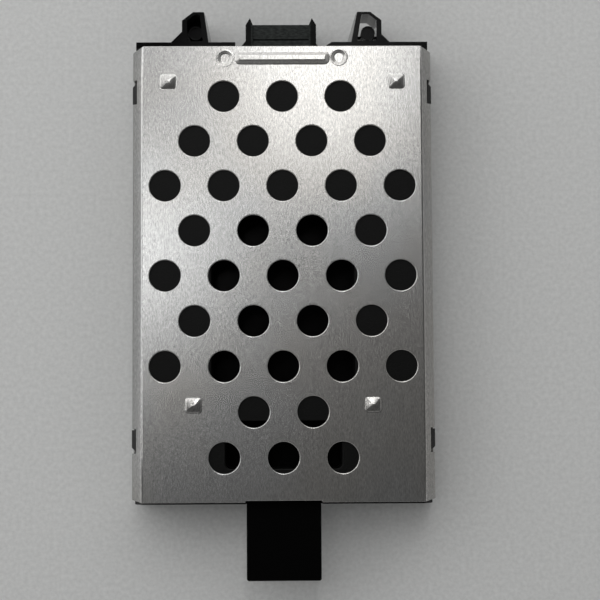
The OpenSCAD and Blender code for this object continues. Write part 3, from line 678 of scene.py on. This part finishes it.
def pressed_list():
    """Each pressed form: its place, half size, corner radius and height profile."""
    dimple = ((DIMPLE_R, DIMPLE_R), DIMPLE_R, dimple_profile)
    forms = [
        ((0, FRONT_Y - RIB_BACK), RIB_HALF, RIB_CORNER, rib_profile),
        ((DIMPLE_X, FRONT_Y - DIMPLE_BACK_RIGHT), *dimple),
        ((-DIMPLE_X, FRONT_Y - DIMPLE_BACK_LEFT), *dimple),
    ]
    for side in (-1, 1):
        for x, y in BUMP_PLACES:
            forms.append(((side * x, y), BUMP_HALF, BUMP_CORNER, bump_profile))
    return forms


PRESSED = pressed_list()


def ring_points(half, corner):
    """Evenly numbered points round a rectangle with rounded corners, from +X onwards."""
    points = []
    per_corner = PRESSED_POINTS // 4
    for quarter, (sign_x, sign_y) in enumerate(((1, 1), (-1, 1), (-1, -1), (1, -1))):
        centre = (sign_x * (half[0] - corner), sign_y * (half[1] - corner))
        for i in range(per_corner):
            a = math.radians(90 * quarter + 90 * i / (per_corner - 1))
            points.append((centre[0] + corner * math.cos(a), centre[1] + corner * math.sin(a)))
    return points


def pressed_rings(centre, half, corner):
    """Shrinking rings of a pressed form, from its foot towards its middle, each with its share of the way."""
    for ring in range(PRESSED_RINGS):
        inward = min(half) * ring / PRESSED_RINGS
        inner = (half[0] - inward, half[1] - inward)
        radius = max(corner - inward, PRESSED_ROUND * min(inner))
        points = [(centre[0] + x, centre[1] + y) for x, y in ring_points(inner, radius)]
        yield ring / PRESSED_RINGS, points


def pressed_patch(grid, form, base):
    """One pressed form as a patch of a face of the sheet at a height."""
    centre, half, corner, profile = form
    rows = []
    for share, points in pressed_rings(centre, half, corner):
        heights = [profile(share, (x - centre[0]) / half[0], (y - centre[1]) / half[1]) for x, y in points]
        rows.append([grid.verts.new((x, y, base + height)) for (x, y), height in zip(points, heights)])
    for near, far in zip(rows, rows[1:]):
        for i in range(PRESSED_POINTS):
            k = (i + 1) % PRESSED_POINTS
            grid.faces.new((near[i], near[k], far[k], far[i]))
    grid.faces.new(rows[-1])


# Flat faces of the cover

def flat_outline(half):
    """Outline of the flat top with the notch over the pull tab, at a half width."""
    places = stations()
    right = [(half, y) for y in places]
    left = [(-half, y) for y in reversed(places)]
    side, end = NOTCH_W / 2, REAR_Y + NOTCH_L
    notch = [(-side, REAR_Y), (-side, end), (side, end), (side, REAR_Y)]
    return right + left + notch


def loops_mesh(name, half):
    """Edge loops of the flat top and of every pressed form's foot."""
    grid = bmesh.new()
    loops = [flat_outline(half)]
    for centre, size, corner, profile in PRESSED:
        loops.append(next(pressed_rings(centre, size, corner))[1])
    for loop in loops:
        verts = [grid.verts.new((x, y, 0)) for x, y in loop]
        for a, b in zip(verts, verts[1:] + verts[:1]):
            grid.edges.new((a, b))
    mesh = bpy.data.meshes.new(name)
    grid.to_mesh(mesh)
    grid.free()
    return mesh


def node_sum(tree, a, b, operation="ADD"):
    """A sum, difference or product of two numbers in a tree."""
    return put(tree, "ShaderNodeMath", (0, a), (1, b), operation=operation).outputs[0]


def node_vector(tree, x=0.0, y=0.0, z=0.0):
    """A vector of three numbers in a tree."""
    return put(tree, "ShaderNodeCombineXYZ", ("X", x), ("Y", y), ("Z", z)).outputs[0]


def node_join(tree, *parts):
    """Several geometries as one."""
    made = tree.nodes.new("GeometryNodeJoinGeometry")
    for part in parts:
        tree.links.new(part, made.inputs[0])
    return made.outputs[0]


def node_raised(tree, geometry, height):
    """A geometry moved up."""
    place = node_vector(tree, z=height)
    return put(tree, "GeometryNodeTransform", ("Geometry", geometry), ("Translation", place)).outputs[0]


def node_switch(tree, kind, switch, *wires):
    """One of two inputs, by a switch."""
    return put(tree, "GeometryNodeSwitch", ("Switch", switch), *wires, input_type=kind).outputs[0]


def node_copies(tree, points, shape):
    """An instance of a shape at every point."""
    return put(tree, "GeometryNodeInstanceOnPoints", ("Points", points), ("Instance", shape)).outputs[0]


def hole_middles(tree, given):
    """A point in the middle of every hole, row by row from the connector end."""
    rows = []
    step = node_vector(tree, given["Hole Pitch"])
    for row, count in enumerate(ROW_HOLES):
        from_middle = (len(ROW_HOLES) - 1) / 2 - row
        row_y = node_sum(tree, given["Row Pitch"], from_middle, "MULTIPLY")
        start_x = node_sum(tree, given["Hole Pitch"], -(count - 1) / 2, "MULTIPLY")
        start_y = node_sum(tree, row_y, given["Hole Shift"], "SUBTRACT")
        start = node_vector(tree, start_x, start_y)
        line = put(
            tree, "GeometryNodeMeshLine", ("Count", count), ("Start Location", start), ("Offset", step),
            mode="OFFSET",
        )
        rows.append(line.outputs["Mesh"])
    return node_join(tree, *rows)


def filled_face(tree, given, middles, radius, low):
    """The outline filled round the holes, at the height of its face of the sheet."""
    underside = given["Underside"]
    wide = node_sum(tree, radius, given["Rolled Edge"])
    rim = node_switch(tree, "FLOAT", underside, ("False", wide), ("True", radius))
    circle = put(tree, "GeometryNodeCurvePrimitiveCircle", ("Resolution", HOLE_SIDES), ("Radius", rim))
    circles = node_copies(tree, middles, circle.outputs["Curve"])
    rounds = put(tree, "GeometryNodeRealizeInstances", (0, circles))
    outline = put(tree, "GeometryNodeMeshToCurve", ("Mesh", given["Geometry"]))
    curves = node_join(tree, outline.outputs["Curve"], rounds.outputs[0])
    filled = put(tree, "GeometryNodeFillCurve", ("Curve", curves), mode="TRIANGLES")
    height = node_switch(tree, "FLOAT", underside, ("False", given["Top"]), ("True", low))
    return node_raised(tree, filled.outputs[0], height)


def rolled_point(tree, given, radius, turn):
    """Radius and height of a hole's rolled edge at an angle up from its wall."""
    outward = node_sum(tree, given["Rolled Edge"], 1 - math.sin(turn), "MULTIPLY")
    down = node_sum(tree, given["Rolled Edge"], 1 - math.cos(turn), "MULTIPLY")
    return node_sum(tree, radius, outward), node_sum(tree, given["Top"], down, "SUBTRACT")


def ring_wall(tree, low_r, high_r, depth, low_z):
    """One ring of a hole's wall."""
    cone = put(
        tree, "GeometryNodeMeshCone", ("Vertices", HOLE_SIDES), ("Radius Top", high_r),
        ("Radius Bottom", low_r), ("Depth", depth), fill_type="NONE",
    )
    return node_raised(tree, cone.outputs["Mesh"], low_z)


def hole_wall(tree, given, radius, low):
    """Wall of one hole with its rolled edge."""
    rings = []
    turns = [math.radians(90 * i / ROLLED_STEPS) for i in range(ROLLED_STEPS + 1)]
    for a, b in zip(turns, turns[1:]):
        low_r, low_z = rolled_point(tree, given, radius, b)
        high_r, high_z = rolled_point(tree, given, radius, a)
        rings.append(ring_wall(tree, low_r, high_r, node_sum(tree, high_z, low_z, "SUBTRACT"), low_z))
    depth = node_sum(tree, given["Sheet"], given["Rolled Edge"], "SUBTRACT")
    rings.append(ring_wall(tree, radius, radius, depth, low))
    return node_join(tree, *rings)


def punched_plate_tree():
    """Fills an outline round rows of holes, and gives each hole its rolled edge and wall."""
    tree = bpy.data.node_groups.new("punched plate", "GeometryNodeTree")
    tree.is_modifier = True
    tree.interface.new_socket(name="Geometry", in_out="INPUT", socket_type="NodeSocketGeometry")
    for label in ("Hole Diameter", "Hole Pitch", "Row Pitch", "Hole Shift", "Rolled Edge", "Sheet", "Top"):
        tree.interface.new_socket(name=label, in_out="INPUT", socket_type="NodeSocketFloat")
    tree.interface.new_socket(name="Underside", in_out="INPUT", socket_type="NodeSocketBool")
    tree.interface.new_socket(name="Material", in_out="INPUT", socket_type="NodeSocketMaterial")
    tree.interface.new_socket(name="Geometry", in_out="OUTPUT", socket_type="NodeSocketGeometry")
    given = tree.nodes.new("NodeGroupInput").outputs
    radius = node_sum(tree, given["Hole Diameter"], 0.5, "MULTIPLY")
    low = node_sum(tree, given["Top"], given["Sheet"], "SUBTRACT")
    middles = hole_middles(tree, given)
    skin = filled_face(tree, given, middles, radius, low)
    walls = node_copies(tree, middles, hole_wall(tree, given, radius, low))
    shown = node_switch(tree, "GEOMETRY", given["Underside"], ("False", walls))
    real = put(tree, "GeometryNodeRealizeInstances", (0, node_join(tree, skin, shown)))
    finish = put(
        tree, "GeometryNodeSetMaterial", ("Geometry", real.outputs[0]), ("Material", given["Material"])
    )
    tree.links.new(finish.outputs[0], tree.nodes.new("NodeGroupOutput").inputs[0])
    return tree


def set_inputs(modifier, **values):
    """Sets a Geometry Nodes modifier's inputs by their sockets' names."""
    for item in modifier.node_group.interface.items_tree:
        label = item.name.replace(" ", "_")
        if item.in_out == "INPUT" and label in values:
            modifier[item.identifier] = values[label]


def punched_face(grid, tree, name, half, underside):
    """Adds one flat face of the sheet, filled round the holes by the tree."""
    plate = link_mesh(name, loops_mesh(name, half))
    modifier = plate.modifiers.new("punched plate", "NODES")
    modifier.node_group = tree
    set_inputs(
        modifier, Hole_Diameter=HOLE_D, Hole_Pitch=HOLE_PITCH, Row_Pitch=ROW_PITCH, Hole_Shift=HOLE_SHIFT,
        Rolled_Edge=ROLLED_EDGE, Sheet=SHEET, Top=TOP_Z, Underside=underside, Material=cover_steel,
    )
    grid.from_mesh(evaluated(plate))
    bpy.data.objects.remove(plate)


def end_faces(grid):
    """Closes the sheet between its two flat faces at both ends and in the notch."""
    high = flat_outline(FLAT_OUT)
    low = flat_outline(FLAT_IN)
    for i in range(len(high)):
        k = (i + 1) % len(high)
        along_fold = abs(high[i][0]) == FLAT_OUT and high[i][0] == high[k][0]
        if along_fold:
            continue
        upper = [(*high[i], TOP_Z), (*high[k], TOP_Z)]
        lower = [(*low[k], TOP_Z - SHEET), (*low[i], TOP_Z - SHEET)]
        grid.faces.new([grid.verts.new(c) for c in upper + lower])


# The whole cover

def weigh_cut_edges(grid):
    """Marks the sheet's outline and slots, where the shear left a slightly rolled edge."""
    weight = grid.edges.layers.float.new("bevel_weight_edge")
    for edge in grid.edges:
        corner = len(edge.link_faces) == 2 and edge.calc_face_angle() > math.radians(CUT_CORNER)
        ends = [v.co for v in edge.verts]
        outline = all(
            abs(c.x) > FLAT_IN - CUT_SIDE or min(c.y - REAR_Y, FRONT_Y - c.y) < CUT_REACH for c in ends
        )
        if corner and outline:
            edge[weight] = 1.0


def crisp_feet(mesh):
    """Keeps the flat faces flat in shading where a rolled edge, fold or pressed form starts."""
    grid = bmesh.new()
    grid.from_mesh(mesh)
    for edge in grid.edges:
        flat = [abs(face.normal.z) > FLAT_NORMAL for face in edge.link_faces]
        if any(flat) and not all(flat):
            edge.smooth = False
    grid.to_mesh(mesh)
    grid.free()


def cover_mesh():
    """The sheet as one closed skin: flat faces by nodes, folds and pressed forms round them."""
    tree = punched_plate_tree()
    grid = bmesh.new()
    punched_face(grid, tree, "plate_top", FLAT_OUT, False)
    punched_face(grid, tree, "plate_underside", FLAT_IN, True)
    for side in (-1, 1):
        folded_side(grid, side)
    for form in PRESSED:
        for base in (TOP_Z, TOP_Z - SHEET):
            pressed_patch(grid, form, base)
    end_faces(grid)
    bmesh.ops.remove_doubles(grid, verts=grid.verts, dist=JOIN_WITHIN)
    bmesh.ops.recalc_face_normals(grid, faces=grid.faces)
    weigh_cut_edges(grid)
    mesh = bpy.data.meshes.new("cover_shape")
    grid.to_mesh(mesh)
    grid.free()
    mesh.materials.clear()
    mesh.materials.append(cover_steel)
    for face in mesh.polygons:
        face.material_index = 0
    return mesh


def make_cover():
    """The folded, punched and pressed sheet with its cut edges softened."""
    made = link_mesh("cover_shape", cover_mesh())
    edges = made.modifiers.new("cut edges", "BEVEL")
    edges.width = CUT_EDGE
    edges.segments = 2
    edges.limit_method = "WEIGHT"
    mesh = evaluated(made)
    shade(mesh)
    crisp_feet(mesh)
    dress(made, "lid", "cover_steel", "cover")


# The other pieces

def make_mouldings():
    """Tray with its snap arms, and the housings of both connectors."""
    for node in ("tray", "snap_arms"):
        softened(node, tray_plastic, "base", "tray_plastic", MOULDING_EDGE)
    softened("connector_housing", connector_plastic, "base", "connector_plastic", HOUSING_EDGE)
    softened("socket_housing", socket_plastic, "base", "socket_plastic", SOCKET_EDGE)


def make_foam_pieces():
    """Die-cut foam: the upper sheet goes with the cover, the others stay in the tray."""
    for node, body in (
        ("upper_damper", "lid"), ("lower_damper", "base"), ("left_damper", "base"),
        ("right_damper", "base"), ("rear_dampers", "base"), ("front_dampers", "base"),
    ):
        softened(node, foam, body, "foam", FOAM_EDGE)


def make_films_and_boards():
    """Pull tab, flex cable and both boards."""
    softened("pull_tab", tab_film, "base", "tab_film", TAB_EDGE)
    softened("flex_cable", flex_film, "base", "flex_film", FLEX_EDGE)
    for node in ("socket_board", "connector_board"):
        softened(node, board_mask, "base", "circuit_board", BOARD_EDGE)


def make_metal_parts():
    """Contacts, screws and inserts."""
    for node in ("socket_contacts", "connector_contacts"):
        softened(node, contact_gold, "base", "contact_metal", CONTACT_EDGE, 1)
    for node in ("socket_screws", "connector_screws"):
        softened(node, screw_zinc, "base", "screw_steel", METAL_EDGE)
    softened("screw_inserts", insert_brass, "base", "insert_brass", METAL_EDGE)


# Floor and light

def make_floor():
    """Plain pale floor."""
    mesh = bpy.data.meshes.new("floor")
    signs = ((-1, -1), (1, -1), (1, 1), (-1, 1))
    mesh.from_pydata([(FLOOR_REACH * x, FLOOR_REACH * y, 0) for x, y in signs], [], [(0, 1, 2, 3)])
    mesh.materials.append(make_floor_paint())
    made = link_mesh("floor", mesh)


def make_lamp(name, place, target, size, radiance):
    """A soft rectangular lamp aimed at a point, as bright as a lit surface of that level."""
    data = bpy.data.lights.new(name, "AREA")
    data.shape = "RECTANGLE"
    data.size, data.size_y = size
    data.energy = radiance * math.pi * size[0] * size[1]
    made = bpy.data.objects.new(name, data)
    made.location = place
    made.rotation_euler = (Vector(target) - Vector(place)).to_track_quat("-Z", "Y").to_euler()
    made.visible_camera = False
    bpy.context.scene.collection.objects.link(made)


def make_world():
    """The room: pale walls, brighter on the left, under a dark ceiling."""
    world = bpy.data.worlds.new("room")
    bpy.context.scene.world = world
    world.use_nodes = True
    tree = world.node_tree
    way = put(tree, "ShaderNodeTexCoord").outputs["Generated"]
    parts = put(tree, "ShaderNodeSeparateXYZ", (0, way)).outputs
    walls = level(tree, parts["X"], ROOM_WALLS[0], ROOM_WALLS[1], -1.0, 1.0)
    bright = put(
        tree, "ShaderNodeMapRange", ("Value", parts["Z"]), ("From Min", CEILING_RISE[0]),
        ("From Max", CEILING_RISE[1]), ("To Min", walls), ("To Max", ROOM_CEILING),
        interpolation_type="SMOOTHSTEP",
    )
    tree.links.new(bright.outputs["Result"], tree.nodes["Background"].inputs["Strength"])
    tree.nodes["Background"].inputs["Color"].default_value = (1, 1, 1, 1)


make_cover()
make_mouldings()
make_foam_pieces()
make_films_and_boards()
make_metal_parts()
make_floor()
for lamp in LAMPS:
    make_lamp(*lamp)
make_world()
